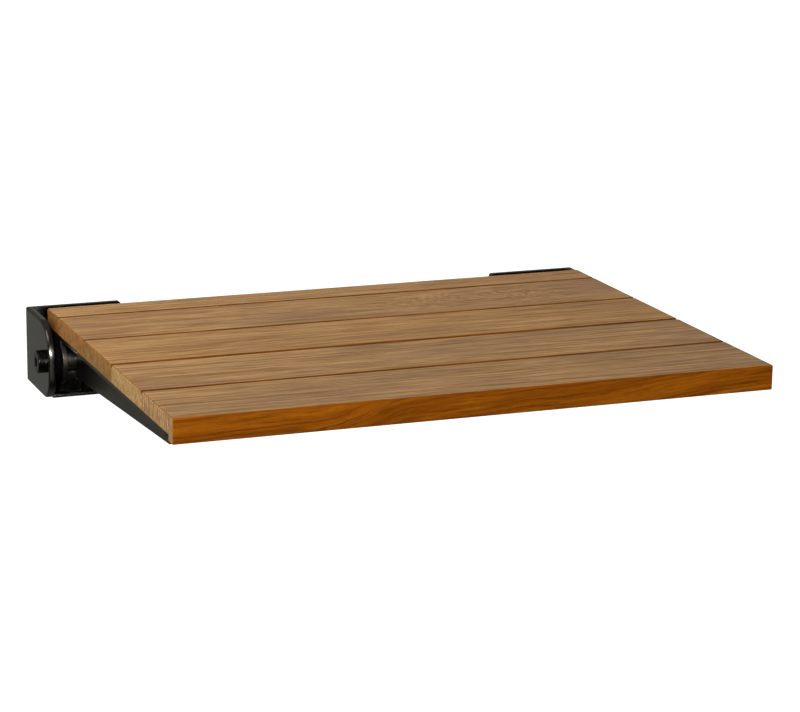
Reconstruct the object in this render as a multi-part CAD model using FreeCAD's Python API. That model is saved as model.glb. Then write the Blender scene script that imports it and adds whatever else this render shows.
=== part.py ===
"""Wall-mounted fold-up shower seat: a teak board seat on two steel arms, hinged in two wall brackets.

Frame: the wall is the plane Y = 0 and the seat reaches out along -Y. +Z is up and X runs along the wall.
The origin is the centre of the wall screws' pattern, which is level with the hinge axis.
"""

import FreeCAD, Part
import math
import os

# ---- driving dimensions, in millimetres ----

# Seat
SEAT_WIDTH = 508.0
SEAT_DEPTH = 381.0
SEAT_TOP = 40.0             # height of the seat's top face above the hinge axis
BOARD_THICKNESS = 16.0
REAR_GAP = 36.0             # from the wall to the seat's rear edge
BOARD_JOINT = 0.4           # gap between two boards
REAR_CHAMFER = 1.3          # along the seat's rear top edge
GROOVE_CHAMFERS = (1.2, 1.4, 2.3, 1.7)  # half the width of each V groove on top, from the wall outwards
END_ROUND = 1.0
FULL_BOARD_WIDTHS = {"second_board": 86.0, "middle_board": 86.0, "fourth_board": 87.0}
REAR_BOARD_WIDTH = 37.5
NOSING_THICKNESS = 11.0
NOSING_HEIGHT = 21.0
NOSING_ROUND = 1.5

# Hinge axis
PIVOT_Y = -64.5             # 64.5 mm out from the wall, at Z = 0
BOLT_RADIUS = 6.0
HOLE_CLEARANCE = 0.05

# Wall bracket: a plate on the wall with an ear bent forward at its outer end
PLATE_WIDTH = 85.0
PLATE_THICKNESS = 5.0
BRACKET_TOP = 34.0
BRACKET_BOTTOM = -33.0
EAR_OUTER = 264.3           # distance of the ear's outer face from the middle of the seat
EAR_THICKNESS = 6.5
EAR_REACH = 80.0
EAR_TOP_RADIUS = 30.0
EAR_BOTTOM_RADIUS = 20.0
PLATE_CORNER_RADIUS = 2.5
EAR_EDGE_ROUND = 1.8
SCREW_HOLE_RADIUS = 3.5
SCREW_ROW_Z = 20.0
WALL_SCREWS = [(192.0, SCREW_ROW_Z), (192.0, -SCREW_ROW_Z), (242.0, SCREW_ROW_Z), (216.0, -SCREW_ROW_Z)]

# Shelf, stop bar and bearing lug, welded inside each wall bracket
SHELF_THICKNESS = 3.0
SHELF_REACH = 66.5
SHELF_CORNER_RADIUS = 14.0
STOP_FRONT = 8.0            # the stop bar's front face, behind the hinge axis
STOP_THICKNESS = 6.0
STOP_HEIGHT = 15.0
LUG_RADIUS = 14.0
LUG_THICKNESS = 6.0
LUG_FOOT_FRONT = -1.5
LUG_FOOT_REAR = 14.0

# Arm: distances called inset are from the seat's end towards its middle
FLANGE_INSET = 1.0
FLANGE_WIDTH = 30.0
FLANGE_THICKNESS = 3.0
FLANGE_FRONT_Y = -396.0
FLANGE_REAR_Y = -46.0
FLANGE_CORNER_RADIUS = 6.0
CHEEK_THICKNESS = 4.0
CHEEK_DISC_RADIUS = 22.0    # the round front of the cheek, about the hinge axis
CHEEK_FRONT = 12.0          # the cheek's lower front edge, ahead of the hinge axis
CHEEK_BOTTOM = -28.5
CHEEK_CORNER_RADIUS = 14.0
CHEEK_REAR_RADIUS = 16.0
HEEL_ROUND = 0.8
HEEL_GAP = 0.2              # between the cheek's heel and the stop bar
WEB_INSET = 15.0
WEB_THICKNESS = 5.0
WEB_END_RADIUS = 14.7
WEB_SLOPE = 0.0588          # rise of the web's lower edge for each millimetre towards the front
WEB_FRONT_Y = -360.0
BARREL_RADIUS = 12.0
HEEL_PLATE_FRONT = -9.0     # ahead of the hinge axis
HEEL_PLATE_THICKNESS = 7.0
HEEL_PLATE_TOP = -9.0
HEEL_PLATE_BOTTOM = -27.0
HEEL_PLATE_WIDTH = 14.5

# Hinge hardware
BUSH_WALL = 1.5
BOLT_HEAD_RADIUS = 10.0
BOLT_HEAD_HEIGHT = 7.5
BOLT_HEAD_ROUND = 0.8
BOLT_SOCKET_FLATS = 8.0
BOLT_SOCKET_DEPTH = 4.5
BOLT_END_PROUD = 2.0        # how far the bolt stands past its nut
WASHER_RADIUS = 11.5
SIDE_PLAY = 0.1             # gap on each side of a washer that the arm turns against
LUG_INSET = 23.0
NUT_WASHER_THICKNESS = 1.5
NUT_WASHER_RADIUS = 12.0
NUT_FLATS = 18.0
NUT_HEIGHT = 8.0
NUT_COLLAR_HEIGHT = 3.0
NUT_COLLAR_RADIUS = 8.4

# Levelling screw in the arm's heel plate
LEVEL_INSET = 12.2
LEVEL_Z = -21.2
LEVEL_RADIUS = 4.0
LEVEL_HEAD_RADIUS = 6.2
LEVEL_HEAD_HEIGHT = 4.5
LEVEL_HEAD_ROUND = 1.6
LEVEL_SOCKET_FLATS = 5.0
LEVEL_SOCKET_DEPTH = 2.6
LEVEL_NUT_FLATS = 13.0
LEVEL_NUT_HEIGHT = 4.0

# Wood screws that hold the boards on the arms' flanges
WOOD_SCREW_RADIUS = 2.2
WOOD_SCREW_LENGTH = 12.0
WOOD_SCREW_TIP = 3.0
WOOD_SCREW_HEAD_RADIUS = 4.2
WOOD_SCREW_HEAD_HEIGHT = 2.4
WOOD_SCREW_HEAD_ROUND = 0.9
WOOD_SCREW_SOCKET_FLATS = 2.5
WOOD_SCREW_SOCKET_DEPTH = 1.3
WOOD_SCREW_OUTER_INSET = 9.5
WOOD_SCREW_INNER_INSET = 26.0
SCREWS_APART = 44.0         # between the two screws of one full board, along Y

# ---- values worked out from them ----

HALF_SEAT = SEAT_WIDTH / 2
SEAT_UNDERSIDE = SEAT_TOP - BOARD_THICKNESS
SEAT_REAR_Y = -REAR_GAP
SEAT_FRONT_Y = -REAR_GAP - SEAT_DEPTH
EAR_INNER = EAR_OUTER - EAR_THICKNESS
FLANGE_UNDERSIDE = SEAT_UNDERSIDE - FLANGE_THICKNESS
SHELF_TOP = BRACKET_BOTTOM + SHELF_THICKNESS
STOP_TOP = BRACKET_BOTTOM + SHELF_THICKNESS + STOP_HEIGHT
CHEEK_INSET = FLANGE_INSET
WEB_INNER_INSET = WEB_INSET + WEB_THICKNESS
BOLT_HOLE_RADIUS = BOLT_RADIUS + HOLE_CLEARANCE
BUSH_RADIUS = BOLT_HOLE_RADIUS + BUSH_WALL

ALONG_X = FreeCAD.Vector(1, 0, 0)
ALONG_Y = FreeCAD.Vector(0, 1, 0)
ALONG_Z = FreeCAD.Vector(0, 0, 1)


# ---- shape helpers ----

def x_at(inset):
    """X of a place that lies inset millimetres in from the right-hand end of the seat."""
    return HALF_SEAT - inset


def box(x_low, x_high, y_low, y_high, z_low, z_high):
    corner = FreeCAD.Vector(x_low, y_low, z_low)
    return Part.makeBox(x_high - x_low, y_high - y_low, z_high - z_low, corner)


def rounded_outline(corners, place):
    """A closed wire through corners (a, b, radius); place turns a flat (a, b) into a 3-D point.
    Each corner with a radius becomes an arc that is tangent to both of its sides."""
    starts = []
    ends = []
    middles = []
    count = len(corners)
    for index, (a, b, radius) in enumerate(corners):
        before = corners[index - 1]
        after = corners[(index + 1) % count]
        to_before = FreeCAD.Vector(before[0] - a, before[1] - b, 0).normalize()
        to_after = FreeCAD.Vector(after[0] - a, after[1] - b, 0).normalize()
        corner = FreeCAD.Vector(a, b, 0)
        half_angle = to_before.getAngle(to_after) / 2
        setback = radius / math.tan(half_angle)
        bisector = (to_before + to_after).normalize()
        starts.append(corner + to_before * setback)
        ends.append(corner + to_after * setback)
        middles.append(corner + bisector * (radius / math.sin(half_angle) - radius))
    edges = []
    for index in range(count):
        start, middle, end = (place(p.x, p.y) for p in (starts[index], middles[index], ends[index]))
        if corners[index][2] > 0:
            edges.append(Part.Arc(start, middle, end).toShape())
        following = starts[(index + 1) % count]
        next_start = place(following.x, following.y)
        if end.distanceToPoint(next_start) > 1e-6:
            edges.append(Part.LineSegment(end, next_start).toShape())
    return Part.Wire(edges)


def side_plate(corners, x_low, x_high):
    """A plate square to X, with the rounded outline given as (y, z, radius) corners."""
    wire = rounded_outline(corners, lambda y, z: FreeCAD.Vector(x_low, y, z))
    return Part.Face(wire).extrude(ALONG_X * (x_high - x_low))


def flat_plate(corners, z_low, z_high):
    """A level plate, with the rounded outline given as (x, y, radius) corners."""
    wire = rounded_outline(corners, lambda x, y: FreeCAD.Vector(x, y, z_low))
    return Part.Face(wire).extrude(ALONG_Z * (z_high - z_low))


def wall_side_plate(corners, y_low, y_high):
    """An upright plate square to Y, with the rounded outline given as (x, z, radius) corners."""
    wire = rounded_outline(corners, lambda x, z: FreeCAD.Vector(x, y_low, z))
    return Part.Face(wire).extrude(ALONG_Y * (y_high - y_low))


def rod_x(radius, x_low, x_high, y=PIVOT_Y, z=0.0):
    return Part.makeCylinder(radius, x_high - x_low, FreeCAD.Vector(x_low, y, z), ALONG_X)


def rod_y(radius, y_low, y_high, x, z):
    return Part.makeCylinder(radius, y_high - y_low, FreeCAD.Vector(x, y_low, z), ALONG_Y)


def rod_z(radius, z_low, z_high, x, y):
    return Part.makeCylinder(radius, z_high - z_low, FreeCAD.Vector(x, y, z_low), ALONG_Z)


def hex_prism(flats, base, direction, length):
    """A hexagonal prism with the given width across flats, that starts at base."""
    corner_radius = flats / math.sqrt(3)
    sideways = ALONG_Z if abs(direction.z) < 0.5 else ALONG_X
    other = direction.cross(sideways)
    points = []
    for step in range(7):
        angle = math.radians(60 * step)
        points.append(base + sideways * (corner_radius * math.cos(angle))
                      + other * (corner_radius * math.sin(angle)))
    return Part.Face(Part.makePolygon(points)).extrude(direction * length)


def edges_where(shape, test):
    """The straight or curved edges of a shape whose two ends and middle all pass the test."""
    chosen = []
    for edge in shape.Edges:
        first = edge.ParameterRange[0]
        last = edge.ParameterRange[1]
        places = [edge.valueAt(first), edge.valueAt((first + last) / 2), edge.valueAt(last)]
        if all(test(place) for place in places):
            chosen.append(edge)
    return chosen


def near(value, target):
    return abs(value - target) < 1e-3


# ---- seat ----

def board_rows():
    """Each board's name with its rear and front Y, from the wall outwards."""
    rows = []
    rear = SEAT_REAR_Y
    widths = {"rear_board": REAR_BOARD_WIDTH}
    widths.update(FULL_BOARD_WIDTHS)
    for name, width in widths.items():
        rows.append((name, rear, rear - width + BOARD_JOINT))
        rear -= width
    rows.append(("front_board", rear, SEAT_FRONT_Y + NOSING_THICKNESS))
    return rows


def board(rear_y, front_y, rear_chamfer, front_chamfer, screw_places):
    shape = box(-HALF_SEAT, HALF_SEAT, front_y, rear_y, SEAT_UNDERSIDE, SEAT_TOP)
    for edge_y, chamfer in ((rear_y, rear_chamfer), (front_y, front_chamfer)):
        if chamfer > 0:
            top_edge = edges_where(shape, lambda p: near(p.y, edge_y) and near(p.z, SEAT_TOP))
            shape = shape.makeChamfer(chamfer, top_edge)
    end_edges = []
    for end_x in (-HALF_SEAT, HALF_SEAT):
        end_edges += edges_where(shape, lambda p: near(p.x, end_x) and near(p.z, SEAT_TOP))
    shape = shape.makeFillet(END_ROUND, end_edges)
    pilot_top = SEAT_UNDERSIDE + WOOD_SCREW_LENGTH + WOOD_SCREW_TIP
    for x, y in screw_places:
        pilot = rod_z(WOOD_SCREW_RADIUS + HOLE_CLEARANCE, SEAT_UNDERSIDE, pilot_top, x, y)
        shape = shape.cut(pilot)
    return shape


def nosing():
    """The front strip, which hangs a little below the boards and hides the arms' front ends."""
    low = SEAT_TOP - NOSING_HEIGHT
    back = SEAT_FRONT_Y + NOSING_THICKNESS
    shape = box(-HALF_SEAT, HALF_SEAT, SEAT_FRONT_Y, back, low, SEAT_TOP)
    front_edges = edges_where(shape, lambda p: near(p.y, SEAT_FRONT_Y))
    bottom_back = edges_where(shape, lambda p: near(p.y, back) and near(p.z, low))
    return shape.makeFillet(NOSING_ROUND, front_edges + bottom_back)


def arm_screw_places(side):
    """(x, y) of the wood screws of one arm: two in each full board, one in the rear board."""
    places = []
    for name, rear, front in board_rows():
        middle = (rear + front) / 2
        if name == "rear_board":
            places.append((side * x_at(WOOD_SCREW_INNER_INSET), middle))
            continue
        places.append((side * x_at(WOOD_SCREW_OUTER_INSET), middle + SCREWS_APART / 2))
        places.append((side * x_at(WOOD_SCREW_INNER_INSET), middle - SCREWS_APART / 2))
    return places


def wood_screws(places):
    screws = []
    for x, y in places:
        head_low = FLANGE_UNDERSIDE - WOOD_SCREW_HEAD_HEIGHT
        head = rod_z(WOOD_SCREW_HEAD_RADIUS, head_low, FLANGE_UNDERSIDE, x, y)
        rim = edges_where(head, lambda p: near(p.z, head_low))
        head = head.makeFillet(WOOD_SCREW_HEAD_ROUND, rim)
        shank_top = SEAT_UNDERSIDE + WOOD_SCREW_LENGTH
        shank = rod_z(WOOD_SCREW_RADIUS, FLANGE_UNDERSIDE, shank_top, x, y)
        tip = Part.makeCone(WOOD_SCREW_RADIUS, 0, WOOD_SCREW_TIP, FreeCAD.Vector(x, y, shank_top), ALONG_Z)
        socket = hex_prism(WOOD_SCREW_SOCKET_FLATS, FreeCAD.Vector(x, y, head_low), ALONG_Z,
                           WOOD_SCREW_SOCKET_DEPTH)
        screws.append(head.fuse([shank, tip]).removeSplitter().cut(socket))
    return Part.makeCompound(screws)


# ---- bracket, modelled for the right-hand side (+X) ----

def wall_bracket():
    inner_x = EAR_OUTER - PLATE_WIDTH
    plate_corners = [
        (EAR_OUTER, BRACKET_BOTTOM, 0),
        (EAR_OUTER, BRACKET_TOP, 0),
        (inner_x, BRACKET_TOP, PLATE_CORNER_RADIUS),
        (inner_x, BRACKET_BOTTOM, PLATE_CORNER_RADIUS),
    ]
    ear_corners = [
        (0, BRACKET_BOTTOM, 0),
        (0, BRACKET_TOP, 0),
        (-EAR_REACH, BRACKET_TOP, EAR_TOP_RADIUS),
        (-EAR_REACH, BRACKET_BOTTOM, EAR_BOTTOM_RADIUS),
    ]
    plate = wall_side_plate(plate_corners, -PLATE_THICKNESS, 0)
    ear = side_plate(ear_corners, EAR_INNER, EAR_OUTER)
    shape = plate.fuse(ear).removeSplitter()
    # Ease the ear's outline on both faces, where the hand can touch it.
    rims = edges_where(shape, lambda p: near(p.x, EAR_OUTER) and p.y < -EAR_EDGE_ROUND)
    rims += edges_where(shape, lambda p: near(p.x, EAR_INNER) and p.y < -PLATE_THICKNESS - EAR_EDGE_ROUND)
    shape = shape.makeFillet(EAR_EDGE_ROUND, rims)
    for x, z in WALL_SCREWS:
        shape = shape.cut(rod_y(SCREW_HOLE_RADIUS, -PLATE_THICKNESS, 0, x, z))
    return shape.cut(rod_x(BOLT_HOLE_RADIUS, EAR_INNER, EAR_OUTER))


def shelf_plate():
    inner_x = EAR_OUTER - PLATE_WIDTH
    corners = [
        (EAR_INNER, -PLATE_THICKNESS, 0),
        (inner_x, -PLATE_THICKNESS, 0),
        (inner_x, -SHELF_REACH, SHELF_CORNER_RADIUS),
        (EAR_INNER, -SHELF_REACH, 0),
    ]
    return flat_plate(corners, BRACKET_BOTTOM, SHELF_TOP)


def stop_bar():
    front_y = PIVOT_Y + STOP_FRONT
    return box(x_at(LUG_INSET), EAR_INNER, front_y, front_y + STOP_THICKNESS, SHELF_TOP, STOP_TOP)


def bearing_lug():
    """An upright lug on the shelf that carries the bolt's inner end, rounded about the hinge axis."""
    outer_x = x_at(LUG_INSET)
    inner_x = outer_x - LUG_THICKNESS
    front_y = PIVOT_Y + LUG_FOOT_FRONT
    rear_y = PIVOT_Y + LUG_FOOT_REAR
    foot_distance = math.hypot(LUG_FOOT_FRONT, SHELF_TOP)
    foot_angle = math.atan2(SHELF_TOP, LUG_FOOT_FRONT)
    touch_angle = foot_angle - math.acos(LUG_RADIUS / foot_distance)
    touch_y = PIVOT_Y + LUG_RADIUS * math.cos(touch_angle)
    touch = FreeCAD.Vector(inner_x, touch_y, LUG_RADIUS * math.sin(touch_angle))
    top = FreeCAD.Vector(inner_x, PIVOT_Y, LUG_RADIUS)
    rear_touch = FreeCAD.Vector(inner_x, rear_y, 0)
    rear_foot = FreeCAD.Vector(inner_x, rear_y, SHELF_TOP)
    front_foot = FreeCAD.Vector(inner_x, front_y, SHELF_TOP)
    outline = Part.Wire([
        Part.Arc(touch, top, rear_touch).toShape(),
        Part.LineSegment(rear_touch, rear_foot).toShape(),
        Part.LineSegment(rear_foot, front_foot).toShape(),
        Part.LineSegment(front_foot, touch).toShape(),
    ])
    lug = Part.Face(outline).extrude(ALONG_X * LUG_THICKNESS)
    return lug.cut(rod_x(BOLT_HOLE_RADIUS, inner_x, outer_x))


# ---- arm ----

def cheek():
    """The arm's outer plate, whose heel rests against the stop bar behind the hinge axis."""
    x_low = x_at(CHEEK_INSET + CHEEK_THICKNESS)
    front_y = PIVOT_Y - CHEEK_FRONT
    heel_rear = STOP_FRONT - HEEL_GAP
    heel_top = -math.sqrt(CHEEK_REAR_RADIUS ** 2 - heel_rear ** 2)
    front_corners = [
        (front_y, FLANGE_UNDERSIDE, 0),
        (front_y, CHEEK_BOTTOM, CHEEK_CORNER_RADIUS),
        (PIVOT_Y + heel_rear, CHEEK_BOTTOM, HEEL_ROUND),
        (PIVOT_Y + heel_rear, FLANGE_UNDERSIDE, 0),
    ]
    plate = side_plate(front_corners, x_low, x_low + CHEEK_THICKNESS)
    round_rear = rod_x(CHEEK_REAR_RADIUS, x_low, x_low + CHEEK_THICKNESS)
    above_heel = box(x_low, x_low + CHEEK_THICKNESS, PIVOT_Y, PIVOT_Y + CHEEK_REAR_RADIUS,
                     heel_top, CHEEK_REAR_RADIUS)
    round_front = rod_x(CHEEK_DISC_RADIUS, x_low, x_low + CHEEK_THICKNESS)
    ahead_of_axis = box(x_low, x_low + CHEEK_THICKNESS, PIVOT_Y - CHEEK_DISC_RADIUS, PIVOT_Y,
                        -CHEEK_DISC_RADIUS, CHEEK_DISC_RADIUS)
    return plate.fuse([round_rear.common(above_heel), round_front.common(ahead_of_axis)]).removeSplitter()


def web():
    """The arm's long tapered plate, rounded about the hinge axis at its rear end."""
    x_low = x_at(WEB_INNER_INSET)
    reach = PIVOT_Y - WEB_FRONT_Y
    low_front = -WEB_END_RADIUS + WEB_SLOPE * reach
    corners = [
        (PIVOT_Y, -WEB_END_RADIUS, 0),
        (WEB_FRONT_Y, low_front, 3 * WEB_THICKNESS),
        (FLANGE_FRONT_Y, FLANGE_UNDERSIDE, 0),
        (PIVOT_Y + WEB_END_RADIUS * math.cos(math.pi / 4), FLANGE_UNDERSIDE, 0),
        (PIVOT_Y + WEB_END_RADIUS * math.cos(math.pi / 4), 0, 0),
    ]
    plate = side_plate(corners, x_low, x_low + WEB_THICKNESS)
    return plate.fuse(rod_x(WEB_END_RADIUS, x_low, x_low + WEB_THICKNESS))


def flange():
    outer_x = x_at(FLANGE_INSET)
    inner_x = outer_x - FLANGE_WIDTH
    corners = [
        (outer_x, FLANGE_REAR_Y, 0),
        (inner_x, FLANGE_REAR_Y, FLANGE_CORNER_RADIUS),
        (inner_x, FLANGE_FRONT_Y, FLANGE_CORNER_RADIUS),
        (outer_x, FLANGE_FRONT_Y, 0),
    ]
    return flat_plate(corners, FLANGE_UNDERSIDE, SEAT_UNDERSIDE)


def heel_plate():
    outer_x = x_at(CHEEK_INSET + CHEEK_THICKNESS)
    front_y = PIVOT_Y + HEEL_PLATE_FRONT
    return box(outer_x - HEEL_PLATE_WIDTH, outer_x, front_y, front_y + HEEL_PLATE_THICKNESS,
               HEEL_PLATE_BOTTOM, HEEL_PLATE_TOP)


def arm():
    barrel = rod_x(BARREL_RADIUS, x_at(WEB_INSET), x_at(CHEEK_INSET + CHEEK_THICKNESS))
    shape = flange().fuse([web(), cheek(), barrel, heel_plate()]).removeSplitter()
    shape = shape.cut(rod_x(BUSH_RADIUS, x_at(WEB_INNER_INSET), x_at(CHEEK_INSET)))
    level_hole = rod_y(LEVEL_RADIUS + HOLE_CLEARANCE, PIVOT_Y + HEEL_PLATE_FRONT,
                       PIVOT_Y + HEEL_PLATE_FRONT + HEEL_PLATE_THICKNESS, x_at(LEVEL_INSET), LEVEL_Z)
    shape = shape.cut(level_hole)
    for x, y in arm_screw_places(1):
        hole = rod_z(WOOD_SCREW_RADIUS + HOLE_CLEARANCE, FLANGE_UNDERSIDE, SEAT_UNDERSIDE, x, y)
        shape = shape.cut(hole)
    return shape


# ---- hinge hardware ----

def ring_x(outer_radius, inner_radius, x_low, x_high):
    return rod_x(outer_radius, x_low, x_high).cut(rod_x(inner_radius, x_low, x_high))


def pivot_bolt():
    head_end = EAR_OUTER + BOLT_HEAD_HEIGHT
    tail_end = nut_inner_x() - BOLT_END_PROUD
    head = rod_x(BOLT_HEAD_RADIUS, EAR_OUTER, head_end)
    rim = edges_where(head, lambda p: near(p.x, head_end))
    head = head.makeFillet(BOLT_HEAD_ROUND, rim)
    shank = rod_x(BOLT_RADIUS, tail_end, EAR_OUTER)
    tail_rim = edges_where(shank, lambda p: near(p.x, tail_end))
    shank = shank.makeChamfer(BOLT_HEAD_ROUND, tail_rim)
    socket_base = FreeCAD.Vector(head_end - BOLT_SOCKET_DEPTH, PIVOT_Y, 0)
    socket = hex_prism(BOLT_SOCKET_FLATS, socket_base, ALONG_X, BOLT_SOCKET_DEPTH)
    return head.fuse(shank).removeSplitter().cut(socket)


def spacer_washer():
    """Fills the gap between the ear and the arm's cheek."""
    return ring_x(WASHER_RADIUS, BOLT_HOLE_RADIUS, x_at(CHEEK_INSET) + SIDE_PLAY, EAR_INNER)


def pivot_bush():
    return ring_x(BUSH_RADIUS, BOLT_HOLE_RADIUS, x_at(WEB_INNER_INSET), x_at(CHEEK_INSET))


def inner_washer():
    """Fills the gap between the arm's web and the bearing lug."""
    return ring_x(WASHER_RADIUS, BOLT_HOLE_RADIUS, x_at(LUG_INSET), x_at(WEB_INNER_INSET) - SIDE_PLAY)


def lug_inner_x():
    return x_at(LUG_INSET) - LUG_THICKNESS


def nut_outer_x():
    return lug_inner_x() - NUT_WASHER_THICKNESS


def nut_inner_x():
    return nut_outer_x() - NUT_HEIGHT - NUT_COLLAR_HEIGHT


def nut_washer():
    return ring_x(NUT_WASHER_RADIUS, BOLT_HOLE_RADIUS, nut_outer_x(), lug_inner_x())


def lock_nut():
    """A hexagonal nut with the round collar that holds its locking ring."""
    body = hex_prism(NUT_FLATS, FreeCAD.Vector(nut_outer_x(), PIVOT_Y, 0), -ALONG_X, NUT_HEIGHT)
    collar = rod_x(NUT_COLLAR_RADIUS, nut_inner_x(), nut_outer_x() - NUT_HEIGHT)
    return body.fuse(collar).removeSplitter().cut(rod_x(BOLT_HOLE_RADIUS, nut_inner_x(), nut_outer_x()))


def levelling_screw():
    """Sets how level the seat lies: its tip bears on the stop bar."""
    x = x_at(LEVEL_INSET)
    plate_front = PIVOT_Y + HEEL_PLATE_FRONT
    head_front = plate_front - LEVEL_HEAD_HEIGHT
    head = rod_y(LEVEL_HEAD_RADIUS, head_front, plate_front, x, LEVEL_Z)
    rim = edges_where(head, lambda p: near(p.y, head_front))
    head = head.makeFillet(LEVEL_HEAD_ROUND, rim)
    shank = rod_y(LEVEL_RADIUS, plate_front, PIVOT_Y + STOP_FRONT - HEEL_GAP, x, LEVEL_Z)
    socket = hex_prism(LEVEL_SOCKET_FLATS, FreeCAD.Vector(x, head_front, LEVEL_Z), ALONG_Y,
                       LEVEL_SOCKET_DEPTH)
    return head.fuse(shank).removeSplitter().cut(socket)


def levelling_nut():
    x = x_at(LEVEL_INSET)
    start = PIVOT_Y + HEEL_PLATE_FRONT + HEEL_PLATE_THICKNESS
    body = hex_prism(LEVEL_NUT_FLATS, FreeCAD.Vector(x, start, LEVEL_Z), ALONG_Y, LEVEL_NUT_HEIGHT)
    hole = rod_y(LEVEL_RADIUS + HOLE_CLEARANCE, start, start + LEVEL_NUT_HEIGHT, x, LEVEL_Z)
    return body.cut(hole)


# ---- the whole assembly ----

def sided_pieces():
    """The pieces of the right-hand bracket and arm; the left-hand ones are their mirror images."""
    return {
        "wall_bracket": wall_bracket(),
        "shelf_plate": shelf_plate(),
        "stop_bar": stop_bar(),
        "bearing_lug": bearing_lug(),
        "pivot_bolt": pivot_bolt(),
        "spacer_washer": spacer_washer(),
        "pivot_bush": pivot_bush(),
        "inner_washer": inner_washer(),
        "nut_washer": nut_washer(),
        "lock_nut": lock_nut(),
        "arm": arm(),
        "levelling_screw": levelling_screw(),
        "levelling_nut": levelling_nut(),
        "arm_screws": wood_screws(arm_screw_places(1)),
    }


def all_pieces():
    pieces = {"front_nosing": nosing()}
    chamfers = (REAR_CHAMFER, *GROOVE_CHAMFERS, 0)
    for index, (name, rear, front) in enumerate(board_rows()):
        screws = [place for side in (-1, 1) for place in arm_screw_places(side) if front < place[1] < rear]
        pieces[name] = board(rear, front, chamfers[index], chamfers[index + 1], screws)
    for name, shape in sided_pieces().items():
        pieces["right_" + name] = shape
        pieces["left_" + name] = shape.mirror(FreeCAD.Vector(0, 0, 0), ALONG_X)
    return pieces


os.makedirs("parts", exist_ok=True)
for node, shape in all_pieces().items():
    shape.exportStep(os.path.join("parts", node + ".step"))
    print(node, "solids", len(shape.Solids), "valid", shape.isValid(), "volume", round(shape.Volume, 1))
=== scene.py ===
"""Looks of a wall-mounted fold-up teak shower seat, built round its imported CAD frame.

Lengths are in metres. X runs along the seat, the wall is at Y = 0, and the seat reaches out along -Y.
"""

import math

import bpy
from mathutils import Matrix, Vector, noise


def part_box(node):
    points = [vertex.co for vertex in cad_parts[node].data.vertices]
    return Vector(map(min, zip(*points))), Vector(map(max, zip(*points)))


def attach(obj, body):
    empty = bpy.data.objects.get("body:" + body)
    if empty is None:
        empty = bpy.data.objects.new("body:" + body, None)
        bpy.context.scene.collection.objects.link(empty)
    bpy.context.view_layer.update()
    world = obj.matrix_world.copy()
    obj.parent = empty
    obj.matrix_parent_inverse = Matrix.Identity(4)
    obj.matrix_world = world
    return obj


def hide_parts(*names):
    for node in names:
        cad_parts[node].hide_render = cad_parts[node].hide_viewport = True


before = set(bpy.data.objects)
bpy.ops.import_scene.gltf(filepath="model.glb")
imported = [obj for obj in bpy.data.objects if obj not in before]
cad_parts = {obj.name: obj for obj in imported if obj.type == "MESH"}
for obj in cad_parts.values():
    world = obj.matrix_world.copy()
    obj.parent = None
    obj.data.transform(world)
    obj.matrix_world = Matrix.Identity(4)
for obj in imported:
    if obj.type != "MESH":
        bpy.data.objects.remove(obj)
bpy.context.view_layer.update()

MM = 0.001

# ----------------------------------------------------------------------------------------------------
# Shape of the teak parts, which replace their CAD solids

REAR_CHAMFER = 1.3 * MM       # along the seat's rear top edge
GROOVE_CHAMFERS = (2.0 * MM, 2.0 * MM, 2.8 * MM, 2.3 * MM)   # half of each V groove, from the wall out
UNDER_ROUND = 1.0 * MM        # softer break along the underside edges
NOSING_ROUND = 1.5 * MM       # along the nosing's front edges
END_ROUND = 1.3 * MM          # at both ends of every board
ARC_STEPS = 4                 # segments in each rounded edge
STATION_GAP = 6 * MM          # spacing of cross sections along a board
SKIN_GAP = 4 * MM             # spacing of points across a board
RELIEF = 0.15 * MM            # depth of the slight unevenness of planed teak
SWELL = 0.18 * MM             # how far each board reaches into the joint beside it
FACE_FINISH = 0               # slots of a board's finishes: its faces, its long edges and its ends
EDGE_FINISH = 1
END_FINISH = 2

# ----------------------------------------------------------------------------------------------------
# Colours, linear

TEAK_PALE = (0.445, 0.255, 0.096)
TEAK_MID = (0.325, 0.173, 0.059)
TEAK_DEEP = (0.180, 0.082, 0.024)
TEAK_GREY = (0.235, 0.135, 0.076)
OILED_PALE = (0.600, 0.190, 0.008)
OILED_MID = (0.410, 0.108, 0.005)
OILED_DEEP = (0.120, 0.028, 0.002)
# oiled teak darkened with painted shade, for the long edges inside the grooves
GROOVE_PALE_SHADED = (0.290, 0.092, 0.006)
GROOVE_DEEP_SHADED = (0.110, 0.030, 0.002)
BRONZE_BLACK = (0.036, 0.0335, 0.0285)
BRONZE_WORN = (0.060, 0.052, 0.040)
# the arms' coat: the brackets' bronze black made darker, as painted shade for their hubs and heels under the
# seat
ARM_SHADED_BLACK = (0.026, 0.024, 0.020)
BRONZE_SHEEN = (0.58, 0.58, 0.55, 1.0)
STEEL_BLACK = (0.008, 0.007, 0.006)
STEEL_WORN = (0.040, 0.036, 0.032)
# near-black of the black oxide parts, darkened further as painted shade, and the painted shade on the arms'
# heels
OXIDE_AND_SHADE_BLACK = (0.004, 0.004, 0.003)
OXIDE_WORN = (0.015, 0.014, 0.012)
NYLON_BLACK = (0.004, 0.004, 0.004)
NYLON_SCUFF = (0.020, 0.020, 0.021)
BUSH_BRONZE = (0.420, 0.260, 0.110)
BUSH_DULL = (0.200, 0.110, 0.050)
WHITE = (1.0, 1.0, 1.0, 1.0)

# ----------------------------------------------------------------------------------------------------
# Places in the finishes

HEEL_INNER_X = 239.1 * MM     # painted shade: the arms are painted a deeper black outboard of their webs
HEEL_TOP = -8.0 * MM          # and below this height
HEEL_FADE = 4.0 * MM          # over which the painted shade sets in
NOSING_CLIMB = 40 * MM        # how far the nosing's growth rings climb from its left end to its right one
NOSING_LEAN = 0.25            # how far they climb for each unit of depth
NOSING_RING = 104.3 * MM      # shift that makes the ring coordinate about 0 at the nosing's lower left edge


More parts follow.
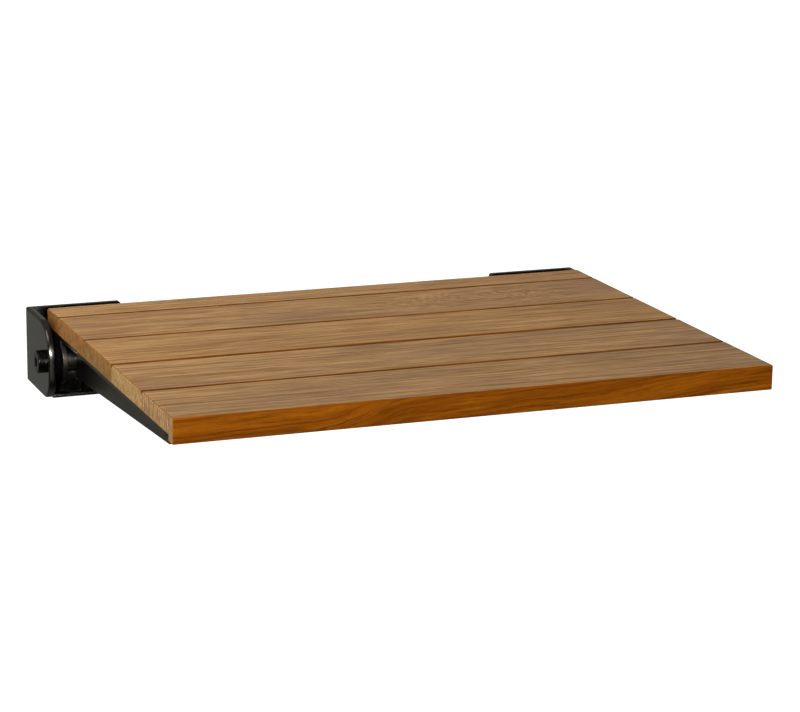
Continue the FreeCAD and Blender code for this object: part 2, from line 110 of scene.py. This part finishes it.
class Graph:
    """Short calls that build the node tree of one material or of the world."""

    def __init__(self, owner, shader):
        owner.use_nodes = True
        self.owner = owner
        self.nodes = owner.node_tree.nodes
        self.links = owner.node_tree.links
        self.shader = self.nodes[shader]
        self.coordinates = self.nodes.new("ShaderNodeTexCoord").outputs

    def put(self, socket, value):
        """Sets a socket to a value, or links it to another node's output."""
        if isinstance(value, bpy.types.NodeSocket):
            self.links.new(value, socket)
        else:
            socket.default_value = value

    def set(self, **inputs):
        """Sets the shader's own sockets; an underscore in a name stands for a space."""
        for name, value in inputs.items():
            self.put(self.shader.inputs[name.replace("_", " ")], value)

    def maths(self, operation, *values):
        node = self.nodes.new("ShaderNodeMath")
        node.operation = operation
        for socket, value in zip(node.inputs, values):
            self.put(socket, value)
        return node.outputs[0]

    def radius(self, y, z):
        """The distance of (y, z) from the log's centre line."""
        return self.maths("SQRT", self.maths("ADD", self.maths("POWER", y, 2.0), self.maths("POWER", z, 2.0)))

    def split(self, vector):
        node = self.nodes.new("ShaderNodeSeparateXYZ")
        self.put(node.inputs[0], vector)
        return node.outputs[0], node.outputs[1], node.outputs[2]

    def join(self, x, y, z):
        node = self.nodes.new("ShaderNodeCombineXYZ")
        for socket, value in zip(node.inputs, (x, y, z)):
            self.put(socket, value)
        return node.outputs[0]

    def scaled(self, vector, scale, shift):
        node = self.nodes.new("ShaderNodeMapping")
        self.put(node.inputs["Vector"], vector)
        node.inputs["Scale"].default_value = scale
        node.inputs["Location"].default_value = (shift, shift / 3, 0.0)
        return node.outputs[0]

    def cloud(self, vector, detail=4.0, roughness=0.55, scale=1.0):
        """A noise texture's value, about 0.5 on average."""
        node = self.nodes.new("ShaderNodeTexNoise")
        self.put(node.inputs["Vector"], vector)
        node.inputs["Scale"].default_value = scale
        node.inputs["Detail"].default_value = detail
        node.inputs["Roughness"].default_value = roughness
        return node.outputs["Fac"]

    def ramp(self, value, *stops, smooth=False):
        """A colour ramp through (position, grey or colour) stops."""
        node = self.nodes.new("ShaderNodeValToRGB")
        self.put(node.inputs[0], value)
        node.color_ramp.interpolation = "EASE" if smooth else "LINEAR"
        elements = node.color_ramp.elements
        while len(elements) < len(stops):
            elements.new(0.5)
        for element, (position, shade) in zip(elements, stops):
            element.position = position
            element.color = (*shade, 1.0) if isinstance(shade, tuple) else (shade, shade, shade, 1.0)
        return node.outputs[0]

    def mix(self, share, first, second, mode="MIX"):
        node = self.nodes.new("ShaderNodeMix")
        node.data_type = "RGBA"
        node.blend_type = mode
        for socket, value in zip((node.inputs[0], node.inputs[6], node.inputs[7]), (share, first, second)):
            self.put(socket, (*value, 1.0) if isinstance(value, tuple) else value)
        return node.outputs[2]

    def bump(self, height, distance, strength, normal=None):
        node = self.nodes.new("ShaderNodeBump")
        node.inputs["Strength"].default_value = strength
        node.inputs["Distance"].default_value = distance
        self.put(node.inputs["Height"], height)
        if normal is not None:
            self.put(node.inputs["Normal"], normal)
        return node.outputs[0]

    def edges(self, radius):
        """(normal rounded over the edges, 0 on flats to 1 on edges)."""
        rounded = self.nodes.new("ShaderNodeBevel")
        rounded.samples = 6
        rounded.inputs["Radius"].default_value = radius
        flat = self.nodes.new("ShaderNodeNewGeometry").outputs["True Normal"]
        dot = self.nodes.new("ShaderNodeVectorMath")
        dot.operation = "DOT_PRODUCT"
        self.put(dot.inputs[0], rounded.outputs[0])
        self.put(dot.inputs[1], flat)
        return rounded.outputs[0], self.ramp(dot.outputs["Value"], (0.80, 1.0), (0.985, 0.0))


def surface(name):
    return Graph(bpy.data.materials.new(name), "Principled BSDF")


def toned(colour, tone):
    return tuple(channel * share for channel, share in zip(colour, tone))


def wood_relief(g, fibres, pores, roughness, gloss):
    """Fine relief along the fibres, with the pores sunk in, and a matching sheen."""
    height = g.maths("ADD", g.maths("MULTIPLY", fibres, 0.7), g.maths("MULTIPLY", pores, 0.6))
    low, high = roughness
    g.set(Roughness=g.ramp(fibres, (0.3, high), (0.7, low)), Specular_IOR_Level=gloss)
    g.set(Normal=g.bump(height, 0.12 * MM, 0.55))


def teak(name, seed, pith, pitch, grey_share, tone, swirl=None):
    """Planed teak with its grain along X.

    pith is the log's centre line as (y, z), pitch its growth rings' spacing, and swirl a local bend of the
    grain as (centre x, centre y, reach x, reach y, height). Noise scales are in cells for each metre, along
    and across the grain.
    """
    g = surface(name)
    pale, mid, deep, grey = (toned(colour, tone) for colour in (TEAK_PALE, TEAK_MID, TEAK_DEEP, TEAK_GREY))
    place = g.coordinates["Object"]
    x, y, z = g.split(place)
    drift = g.cloud(g.scaled(place, (2.0, 9.0, 9.0), seed), detail=2.0)
    wander = g.maths("MULTIPLY_ADD", drift, 0.016, -0.008)
    if swirl is not None:
        centre_x, centre_y, reach_x, reach_y, height = swirl
        across = g.maths("DIVIDE", g.maths("SUBTRACT", x, centre_x), reach_x)
        along = g.maths("DIVIDE", g.maths("SUBTRACT", y, centre_y), reach_y)
        square = g.maths("ADD", g.maths("POWER", across, 2.0), g.maths("POWER", along, 2.0))
        hill = g.maths("MULTIPLY", g.maths("EXPONENT", g.maths("MULTIPLY", square, -1.0)), height)
        wander = g.maths("ADD", wander, hill)
    grain_y = g.maths("ADD", y, wander)
    grain_z = g.maths("ADD", z, wander)
    ring = g.radius(g.maths("SUBTRACT", grain_y, pith[0]), g.maths("SUBTRACT", grain_z, pith[1]))
    log = g.join(x, grain_y, grain_z)

    rings = g.cloud(g.join(g.maths("MULTIPLY", x, 2.2), g.maths("DIVIDE", ring, pitch), seed), detail=3.0)
    streaks = g.cloud(g.scaled(log, (8.0, 320.0, 320.0), seed), detail=4.0, roughness=0.62)
    fibres = g.cloud(g.scaled(log, (18.0, 620.0, 620.0), seed), detail=4.0, roughness=0.68)
    pores = g.cloud(g.scaled(log, (70.0, 1900.0, 1900.0), seed), detail=2.0)
    bands = g.cloud(g.scaled(log, (6.0, 42.0, 42.0), seed + 3.0), detail=5.0, roughness=0.62)
    mottle = g.cloud(g.scaled(place, (10.0, 26.0, 26.0), seed), detail=3.0)

    colour = g.ramp(rings, (0.30, deep), (0.46, mid), (0.58, pale), (0.72, mid))
    colour = g.mix(g.ramp(bands, (0.47, 0.0), (0.58, grey_share)), colour, grey)
    colour = g.mix(g.ramp(streaks, (0.38, 0.65), (0.50, 0.0)), colour, deep)
    colour = g.mix(g.ramp(streaks, (0.51, 0.0), (0.62, 0.65)), colour, pale)
    colour = g.mix(g.ramp(fibres, (0.38, 0.75), (0.50, 0.0)), colour, deep)
    colour = g.mix(g.ramp(fibres, (0.51, 0.0), (0.64, 0.65)), colour, pale)
    colour = g.mix(g.ramp(pores, (0.32, 0.70), (0.44, 0.0)), colour, deep)
    shade = g.ramp(mottle, (0.38, (0.84, 0.82, 0.80)), (0.62, (1.10, 1.10, 1.10)))
    g.set(Base_Color=g.mix(0.5, colour, shade, "MULTIPLY"))
    wood_relief(g, fibres, pores, (0.55, 0.68), 0.16)
    return g.owner


def end_grain(name, seed, pith, pitch, tone, contrast):
    """The sawn end of a board: growth rings as fine dark lines round the pith, and open pores."""
    g = surface(name)
    pale, mid, deep = (toned(colour, tone) for colour in (TEAK_PALE, TEAK_MID, TEAK_DEEP))
    place = g.coordinates["Object"]
    _, y, z = g.split(place)
    drift = g.cloud(g.scaled(place, (20.0, 60.0, 60.0), seed), detail=3.0)
    wander = g.maths("MULTIPLY_ADD", drift, 0.003, -0.0015)
    from_pith_y = g.maths("SUBTRACT", g.maths("ADD", y, wander), pith[0])
    from_pith_z = g.maths("SUBTRACT", g.maths("ADD", z, wander), pith[1])
    ring = g.radius(from_pith_y, from_pith_z)
    wave = g.maths("SINE", g.maths("MULTIPLY", ring, math.tau / pitch))
    line = g.ramp(g.maths("MULTIPLY_ADD", wave, 0.5, 0.5), (0.45, 0.0), (0.85, contrast))
    mottle = g.cloud(g.scaled(place, (60.0, 150.0, 150.0), seed), detail=5.0, roughness=0.65)
    pores = g.cloud(g.scaled(place, (900.0, 1500.0, 1500.0), seed), detail=2.0)
    colour = g.mix(line, g.ramp(mottle, (0.24, deep), (0.42, mid), (0.60, pale)), deep)
    g.set(Base_Color=g.mix(g.ramp(pores, (0.34, 0.6), (0.46, 0.0)), colour, deep))
    wood_relief(g, mottle, pores, (0.60, 0.75), 0.12)
    return g.owner


def groove_teak():
    """The oiled long edges of the boards, which show inside the grooves, darkened with painted shade."""
    g = surface("teak_groove")
    place = g.coordinates["Object"]
    fibres = g.cloud(g.scaled(place, (20.0, 500.0, 500.0), 9.0), detail=4.0, roughness=0.65)
    pores = g.cloud(g.scaled(place, (70.0, 1900.0, 1900.0), 9.0), detail=2.0)
    stains = g.cloud(g.scaled(place, (12.0, 30.0, 30.0), 9.0), detail=3.0)
    colour = g.ramp(fibres, (0.35, GROOVE_DEEP_SHADED), (0.62, GROOVE_PALE_SHADED))
    g.set(Base_Color=g.mix(g.ramp(stains, (0.40, 0.5), (0.60, 0.0)), colour, GROOVE_DEEP_SHADED))
    wood_relief(g, fibres, pores, (0.50, 0.60), 0.04)
    return g.owner


def oiled_teak(name, seed, low_x, high_x, low_z, top_z):
    """Oiled teak of the nosing.

    The growth rings climb from its lower edge to its upper one near the middle, with darker heartwood under
    the climb and a dark lip in patches along the top.
    """
    g = surface(name)
    place = g.coordinates["Object"]
    x, y, z = g.split(place)
    drift = g.cloud(g.scaled(place, (9.0, 30.0, 60.0), seed), detail=4.0)
    wander = g.maths("MULTIPLY_ADD", drift, 0.010, -0.005)
    share = g.maths("DIVIDE", g.maths("SUBTRACT", x, low_x), high_x - low_x)
    climb = g.ramp(share, (0.0, 0.0), (0.22, 0.04), (0.40, 0.56), (0.62, 0.66), (1.0, 1.0), smooth=True)
    above = g.maths("SUBTRACT", g.maths("SUBTRACT", z, low_z), g.maths("MULTIPLY", climb, NOSING_CLIMB))
    ring = g.maths("ADD", g.maths("ADD", above, wander), g.maths("MULTIPLY", y, NOSING_LEAN))
    ring = g.maths("ADD", ring, NOSING_RING)
    log = g.join(x, g.maths("ADD", y, wander), ring)

    rings = g.cloud(g.join(g.maths("MULTIPLY", x, 3.0), g.maths("MULTIPLY", ring, 260.0), seed), detail=3.0)
    streaks = g.cloud(g.scaled(log, (14.0, 120.0, 420.0), seed + 5.0), detail=4.0, roughness=0.6)
    fibres = g.cloud(g.scaled(log, (24.0, 620.0, 700.0), seed), detail=4.0, roughness=0.65)
    pores = g.cloud(g.scaled(log, (70.0, 1700.0, 1900.0), seed), detail=2.0)
    clouds = g.cloud(g.scaled(place, (8.0, 30.0, 50.0), seed), detail=3.0)

    zone = g.maths("MULTIPLY_ADD", ring, 16.0, 0.70)
    tone = g.ramp(zone, (0.18, 0.0), (0.40, 1.0), (0.672, 1.0), (0.70, 0.0))
    line = g.ramp(zone, (0.682, 0.0), (0.698, 1.0), (0.712, 0.0))
    colour = g.ramp(rings, (0.15, OILED_DEEP), (0.46, OILED_MID), (0.80, OILED_PALE))
    colour = g.mix(g.ramp(clouds, (0.40, 0.45), (0.60, 0.0)), colour, OILED_MID)
    colour = g.mix(g.maths("MULTIPLY", tone, 0.20), colour, OILED_DEEP)
    colour = g.mix(g.maths("MULTIPLY", line, 0.75), colour, OILED_DEEP)
    colour = g.mix(g.ramp(streaks, (0.32, 0.60), (0.46, 0.0)), colour, OILED_DEEP)
    colour = g.mix(g.ramp(streaks, (0.54, 0.0), (0.68, 0.50)), colour, OILED_PALE)
    colour = g.mix(g.ramp(fibres, (0.38, 0.30), (0.50, 0.0)), colour, OILED_DEEP)
    colour = g.mix(g.ramp(pores, (0.32, 0.35), (0.44, 0.0)), colour, OILED_DEEP)
    from_top = g.maths("SUBTRACT", top_z, z)
    lip = g.ramp(g.maths("MULTIPLY", from_top, 250.0), (0.0, 0.90), (0.55, 0.0))
    patches = g.ramp(g.cloud(g.scaled(place, (14.0, 0.0, 0.0), seed)), (0.42, 0.6), (0.60, 1.0))
    g.set(Base_Color=g.mix(g.maths("MULTIPLY", lip, patches), colour, OILED_DEEP))
    wood_relief(g, fibres, pores, (0.44, 0.56), 0.02)
    return g.owner


def coated(name, seed, base, worn, roughness, edge_radius, metallic=1.0, gloss=0.35, painted_heel_shade=False):
    """A dark coated or moulded finish: slight cloudiness, fine texture, softened and slightly worn edges.

    Its last argument is for the arms: it paints shade on their heels and lower cheeks, under the seat, as a
    deeper black.
    """
    g = surface(name)
    place = g.scaled(g.coordinates["Object"], (1.0, 1.0, 1.0), seed)
    clouds = g.cloud(place, scale=38.0, detail=4.0)
    texture = g.cloud(place, scale=900.0, detail=2.0)
    scuffs = g.cloud(place, scale=240.0, detail=5.0, roughness=0.7)
    rounded, edge = g.edges(edge_radius)
    worn_share = g.maths("MULTIPLY", edge, g.ramp(scuffs, (0.42, 0.0), (0.66, 0.4)))
    colour = g.mix(g.ramp(clouds, (0.35, 0.0), (0.70, 0.15)), base, worn)
    colour = g.mix(worn_share, colour, worn)
    # painted shade: the heels and lower cheeks, outboard of the webs and below HEEL_TOP, are darkened towards
    # black
    if painted_heel_shade:
        x, _, z = g.split(g.coordinates["Object"])
        beside_web = g.maths("GREATER_THAN", g.maths("ABSOLUTE", x), HEEL_INNER_X)
        depth = g.maths("DIVIDE", g.maths("SUBTRACT", HEEL_TOP, z), HEEL_FADE)
        painted_shade_share = g.maths("MULTIPLY", beside_web, g.ramp(depth, (0.0, 0.0), (1.0, 0.92)))
        colour = g.mix(painted_shade_share, colour, OXIDE_AND_SHADE_BLACK)
    smooth, rough = roughness
    g.set(Base_Color=colour, Roughness=g.ramp(scuffs, (0.35, smooth), (0.75, rough)), Metallic=metallic)
    g.set(Normal=g.bump(texture, 0.005 * MM, 0.30, rounded))
    g.set(Specular_IOR_Level=gloss, Specular_Tint=BRONZE_SHEEN)
    return g.owner


def arc(centre, radius, start, stop):
    """Points on a circle arc in the (y, z) plane, angles in degrees."""
    points = []
    for i in range(ARC_STEPS + 1):
        angle = math.radians(start + (stop - start) * i / ARC_STEPS)
        points.append((centre[0] + radius * math.cos(angle), centre[1] + radius * math.sin(angle)))
    return points


def corner(side_y, side_z, y, z, size, style):
    """One corner of a cross section, at (y, z); side_y and side_z are -1 or 1, away from its middle."""
    if style == "sharp":
        return [(y, z)]
    along = (y - side_y * size, z)
    up = (y, z - side_z * size)
    if style == "chamfer":
        return [up, along] if side_y * side_z > 0 else [along, up]
    start = {(1, 1): 0, (-1, 1): 90, (-1, -1): 180, (1, -1): 270}[side_y, side_z]
    return arc((y - side_y * size, z - side_z * size), size, start, start + 90)


def cross_section(low, high, rear_top, front_top, under, front_under):
    """A board's outline in (y, z), anticlockwise from the rear top corner; each corner is (size, style)."""
    corners = (
        corner(1, 1, high.y, high.z, *rear_top),
        corner(-1, 1, low.y, high.z, *front_top),
        corner(-1, -1, low.y, low.z, *front_under),
        corner(1, -1, high.y, low.z, *under),
    )
    outline = []
    for index, points in enumerate(corners):
        outline.extend(points)
        following = corners[(index + 1) % len(corners)][0]
        pieces = max(1, round(math.dist(points[-1], following) / SKIN_GAP))
        for step in range(1, pieces):
            share = step / pieces
            outline.append(tuple(a + (b - a) * share for a, b in zip(points[-1], following)))
    return outline


def inset(outline, distance):
    """The outline moved inwards by distance, for the rounded ends."""
    moved = []
    count = len(outline)
    for index, point in enumerate(outline):
        before = Vector(point) - Vector(outline[index - 1])
        after = Vector(outline[(index + 1) % count]) - Vector(point)
        along = (before.normalized() + after.normalized()).normalized()
        moved.append((point[0] - along.y * distance, point[1] + along.x * distance))
    return moved


def stations(low_x, high_x):
    """(x, inset) of every cross section, from one rounded end to the other."""
    left = []
    for step in range(ARC_STEPS + 1):
        angle = math.radians(90 * step / ARC_STEPS)
        left.append((low_x + END_ROUND * (1 - math.cos(angle)), END_ROUND * (1 - math.sin(angle))))
    pieces = round((high_x - low_x - 2 * END_ROUND) / STATION_GAP)
    gap = (high_x - low_x - 2 * END_ROUND) / pieces
    middle = [(low_x + END_ROUND + gap * i, 0.0) for i in range(1, pieces)]
    right = [(low_x + high_x - x, depth) for x, depth in reversed(left)]
    return left + middle + right


def timber(name, node, corners, seed, finishes, swell=(0.0, 0.0)):
    """A solid teak strip in the box of its CAD node.

    finishes are the materials of its faces, long edges and ends, and swell is how far it reaches past its
    front and rear edges.
    """
    low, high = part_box(node)
    low.y -= swell[0]
    high.y += swell[1]
    outline = cross_section(low, high, *corners)
    places = stations(low.x, high.x)
    vertices = []
    for x, depth in places:
        for y, z in inset(outline, depth):
            dip = RELIEF * (0.5 + 0.5 * noise.noise(Vector((x * 11 + seed, y * 70, seed))))
            vertices.append((x, y, z - dip if z > high.z - END_ROUND else z))
    count = len(outline)
    faces = []
    for ring in range(len(places) - 1):
        for side in range(count):
            a = ring * count + side
            b = ring * count + (side + 1) % count
            faces.append((b, a, a + count, b + count))
    faces.append(tuple(range(count)))
    faces.append(tuple((len(places) - 1) * count + i for i in reversed(range(count))))
    mesh = bpy.data.meshes.new(name)
    mesh.from_pydata(vertices, [], faces)
    mesh.validate()
    mesh.flip_normals()
    for material in finishes:
        mesh.materials.append(material)
    for face in mesh.polygons:
        if abs(face.normal.x) > 0.7:
            face.material_index = END_FINISH
        elif abs(face.normal.z) < 0.9:
            face.material_index = EDGE_FINISH
        else:
            face.material_index = FACE_FINISH
    mesh.shade_smooth()
    mesh.set_sharp_from_angle(angle=math.radians(30))
    piece = bpy.data.objects.new(name, mesh)
    bpy.context.scene.collection.objects.link(piece)
    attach(piece, "seat")
    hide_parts(node)


# ----------------------------------------------------------------------------------------------------
# Teak boards, from the wall out. tone tints the colours, and line_strength is how dark the ends' rings are.
# The end tones are painted shade in part: the ends darken towards the wall, where the brackets' ears shade
# them.

BOARDS = {
    "rear_board": {
        "seed": 1.0, "pith": (0.30, -0.060), "pitch": 3.6 * MM, "swirl": None,
        "grey_share": 0.25, "tone": (1.12, 1.10, 1.10), "end_tone_and_shade": (0.55, 0.44, 0.25), "line_strength": 0.6,
    },
    "second_board": {
        "seed": 2.0, "pith": (0.10, -0.160), "pitch": 3.4 * MM, "swirl": (0.115, -0.117, 0.050, 0.024, 0.026),
        "grey_share": 0.70, "tone": (1.02, 1.0, 0.98), "end_tone_and_shade": (0.74, 0.60, 0.34), "line_strength": 0.6,
    },
    "middle_board": {
        "seed": 3.0, "pith": (0.12, -0.120), "pitch": 4.0 * MM, "swirl": None,
        "grey_share": 0.40, "tone": (1.04, 1.0, 0.88), "end_tone_and_shade": (0.68, 0.60, 0.35), "line_strength": 0.7,
    },
    "fourth_board": {
        "seed": 4.0, "pith": (-0.05, -0.200), "pitch": 3.6 * MM, "swirl": None,
        "grey_share": 0.85, "tone": (0.98, 0.97, 0.95), "end_tone_and_shade": (1.18, 1.30, 1.30), "line_strength": 0.9,
    },
    "front_board": {
        "seed": 5.0, "pith": (0.00, 0.030), "pitch": 5.4 * MM, "swirl": None,
        "grey_share": 0.70, "tone": (0.92, 0.92, 0.92), "end_tone_and_shade": (1.06, 1.14, 1.30), "line_strength": 1.0,
    },
}
groove_finish = groove_teak()
under = (UNDER_ROUND, "round")
sharp = (0.0, "sharp")
chamfers = [(size, "chamfer") for size in (REAR_CHAMFER, *GROOVE_CHAMFERS)] + [sharp]
board_faces = {}
for index, (node, board) in enumerate(BOARDS.items()):
    seed, pith, pitch = board["seed"], board["pith"], board["pitch"]
    face_finish = teak("teak_" + node, seed, pith, pitch, board["grey_share"], board["tone"], board["swirl"])
    board_faces[node] = face_finish
    # the ends' colours carry painted shade from their end tones, darker towards the wall
    end_finish = end_grain("end_grain_" + node, seed, pith, pitch, board["end_tone_and_shade"], board["line_strength"])
    board_corners = (chamfers[index], chamfers[index + 1], under, under)
    swell = (SWELL if index < len(BOARDS) - 1 else 0.0, SWELL if index > 0 else 0.0)
    timber("teak_" + node, node, board_corners, seed, (face_finish, groove_finish, end_finish), swell)

# The nosing's upper and lower faces carry the front board's finish.
nosing_low, nosing_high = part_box("front_nosing")
nosing_front = oiled_teak("teak_nosing", 6.0, nosing_low.x, nosing_high.x, nosing_low.z, nosing_high.z)
nosing_end = end_grain("end_grain_nosing", 6.0, (-0.30, -0.10), 3.4 * MM, (0.84, 0.90, 1.15), 0.3)
nosing_corners = (sharp, (NOSING_ROUND, "round"), under, (NOSING_ROUND, "round"))
nosing_finishes = (board_faces["front_board"], nosing_front, nosing_end)
timber("teak_front_nosing", "front_nosing", nosing_corners, 5.0, nosing_finishes)

# ----------------------------------------------------------------------------------------------------
# Metal, nylon and bronze: the CAD nodes keep their shapes

bracket_finish = coated("bracket_bronze_black", 1.0, BRONZE_BLACK, BRONZE_WORN, (0.16, 0.20), 2.6 * MM)
arm_finish = coated("arm_bronze_black", 2.0, ARM_SHADED_BLACK, BRONZE_WORN, (0.32, 0.38), 0.8 * MM, painted_heel_shade=True)
fastener_finish = coated("black_steel", 3.0, STEEL_BLACK, STEEL_WORN, (0.24, 0.36), 0.6 * MM)
# The stop bars, bearing lugs and levelling screws and nuts are black oxide, made darker than the other metal
# as painted shade, since they sit in shade under the seat.
oxide_and_shade_finish = coated(
    "black_oxide_and_shade", 4.0, OXIDE_AND_SHADE_BLACK, OXIDE_WORN, (0.50, 0.65), 0.6 * MM, metallic=0.0, gloss=0.05
)
nylon_finish = coated(
    "black_nylon", 5.0, NYLON_BLACK, NYLON_SCUFF, (0.45, 0.60), 0.4 * MM, metallic=0.0, gloss=0.1
)
bush_finish = coated("bush_bronze", 6.0, BUSH_DULL, BUSH_BRONZE, (0.30, 0.45), 0.4 * MM)
FINISHES = {
    "wall_bracket": bracket_finish,
    "shelf_plate": bracket_finish,
    "stop_bar": oxide_and_shade_finish,
    "bearing_lug": oxide_and_shade_finish,
    "arm": arm_finish,
    "pivot_bolt": fastener_finish,
    "nut_washer": fastener_finish,
    "lock_nut": fastener_finish,
    "levelling_screw": oxide_and_shade_finish,
    "levelling_nut": oxide_and_shade_finish,
    "arm_screws": fastener_finish,
    "spacer_washer": nylon_finish,
    "inner_washer": nylon_finish,
    "pivot_bush": bush_finish,
}
for side in ("left_", "right_"):
    for part, finish in FINISHES.items():
        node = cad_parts[side + part]
        node.data.materials.clear()
        node.data.materials.append(finish)

# ----------------------------------------------------------------------------------------------------
# Floor, light and camera

FLOOR_Z = -0.45               # the usual height of a shower seat above its floor
FLOOR_RADIUS = 12.0
COVE_RADIUS = 3.0             # the floor curves up into a pale surround
SURROUND_TOP = 9.0
FLOOR_STEPS = 96
COVE_STEPS = 10
FLOOR_GLOW = 1.2              # keeps the floor and surround white, whatever their shadows
rim = [(FLOOR_RADIUS, FLOOR_Z)]
for step in range(1, COVE_STEPS + 1):
    angle = math.radians(90 * step / COVE_STEPS)
    rim.append((FLOOR_RADIUS + COVE_RADIUS * math.sin(angle), FLOOR_Z + COVE_RADIUS * (1 - math.cos(angle))))
rim.append((FLOOR_RADIUS + COVE_RADIUS, SURROUND_TOP))
floor_points = []
for radius, height in rim:
    for step in range(FLOOR_STEPS):
        turn = math.tau * step / FLOOR_STEPS
        floor_points.append((radius * math.cos(turn), radius * math.sin(turn), height))
floor_faces = [tuple(range(FLOOR_STEPS))]
for row in range(len(rim) - 1):
    for step in range(FLOOR_STEPS):
        here = row * FLOOR_STEPS + step
        beside = row * FLOOR_STEPS + (step + 1) % FLOOR_STEPS
        floor_faces.append((here, beside, beside + FLOOR_STEPS, here + FLOOR_STEPS))
floor_mesh = bpy.data.meshes.new("pale_floor")
floor_mesh.from_pydata(floor_points, [], floor_faces)
floor_mesh.shade_smooth()
floor = bpy.data.objects.new("pale_floor", floor_mesh)
bpy.context.scene.collection.objects.link(floor)
g = surface("pale_floor")
floor_tone = g.ramp(g.cloud(g.coordinates["Object"], scale=3.0), (0.3, 0.90), (0.7, 0.94))
g.set(Base_Color=floor_tone, Roughness=0.9, Emission_Color=WHITE, Emission_Strength=FLOOR_GLOW)
floor_mesh.materials.append(g.owner)
floor.visible_glossy = False
floor.visible_diffuse = False

BACK_LIGHT = 0.52             # brightness of the studio beyond the wall side, where the pale backdrop stands
FRONT_DARK = 0.02             # brightness of the dark side, in front of the seat
BELOW_LIGHT = 0.30            # brightness straight below, from the floor
ABOVE_LIGHT = 0.25            # brightness straight above
world = bpy.data.worlds.new("studio")
bpy.context.scene.world = world
g = Graph(world, "Background")
_, back, up = g.split(g.coordinates["Generated"])
sideways = g.ramp(g.maths("MULTIPLY_ADD", back, 0.5, 0.5), (0.30, FRONT_DARK), (0.80, BACK_LIGHT))
below = g.ramp(g.maths("MULTIPLY", up, -1.0), (0.70, 0.0), (0.98, BELOW_LIGHT))
above = g.ramp(up, (0.50, 0.0), (0.95, ABOVE_LIGHT))
g.set(Color=g.mix(1.0, g.mix(1.0, sideways, below, "ADD"), above, "ADD"), Strength=1.0)


def softbox(name, place, target, width, height, power, diffuse=True, glossy=True, receivers=()):
    """A rectangular area light at place, facing target.

    diffuse and glossy say how it lights surfaces, and receivers names the only nodes that it lights, where it
    doesn't light them all.
    """
    light = bpy.data.lights.new(name, "AREA")
    light.shape = "RECTANGLE"
    light.size = width
    light.size_y = height
    light.energy = power
    lamp = bpy.data.objects.new(name, light)
    lamp.location = place
    lamp.visible_diffuse = diffuse
    lamp.visible_glossy = glossy
    lamp.rotation_euler = (Vector(target) - Vector(place)).to_track_quat("-Z", "Y").to_euler()
    bpy.context.scene.collection.objects.link(lamp)
    if receivers:
        lit = bpy.data.collections.new(name + "_receivers")
        for node in receivers:
            lit.objects.link(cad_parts[node])
        lamp.light_linking.receiver_collection = lit


SEAT_MIDDLE = (0.0, -0.2, 0.0)
LEFT_BRACKET = (-0.26, -0.08, 0.0)
BRACKETS = ("left_wall_bracket", "right_wall_bracket", "left_shelf_plate", "right_shelf_plate")
HINGES = ("left_arm", "right_arm", "left_pivot_bolt", "right_pivot_bolt")

# The main light, a fill for the boards' left ends, and a fill for the nosing.
softbox("top_light", (-1.1, -0.5, 1.5), SEAT_MIDDLE, 1.2, 1.2, 30)
softbox("left_light", (-2.2, -0.6, 0.4), SEAT_MIDDLE, 1.0, 1.2, 12, glossy=False)
softbox("front_light", (-0.55, -2.6, 0.0), LEFT_BRACKET, 0.5, 1.2, 28, glossy=False)

# The pale sheen on the sides of the ears and arms.
softbox("wall_light", (-2.0, 1.0, 0.1), LEFT_BRACKET, 2.0, 1.0, 4.1)

# The highlights on the front edges of the ears, and on the cheeks and bolts.
softbox("edge_light", (-0.32, -2.45, 0.42), LEFT_BRACKET, 0.90, 0.24, 1100, diffuse=False, receivers=BRACKETS)
softbox("cheek_light", (-0.85, -2.3, 0.85), LEFT_BRACKET, 0.50, 0.22, 290, diffuse=False, receivers=HINGES)

CAMERA_PLACE = (-0.81870, -2.33372, 0.59264)
CAMERA_ANGLES = (75.838, -0.658, -21.126)   # in degrees
CAMERA_LENS = 124.35          # in millimetres, on a sensor 36 mm wide
CAMERA_SENSOR = 36.0
camera_data = bpy.data.cameras.new("camera")
camera_data.sensor_width = CAMERA_SENSOR
camera_data.lens = CAMERA_LENS
camera = bpy.data.objects.new("camera", camera_data)
camera.location = CAMERA_PLACE
camera.rotation_euler = tuple(math.radians(angle) for angle in CAMERA_ANGLES)
bpy.context.scene.collection.objects.link(camera)
bpy.context.scene.camera = camera
bpy.context.scene.view_settings.view_transform = "Standard"
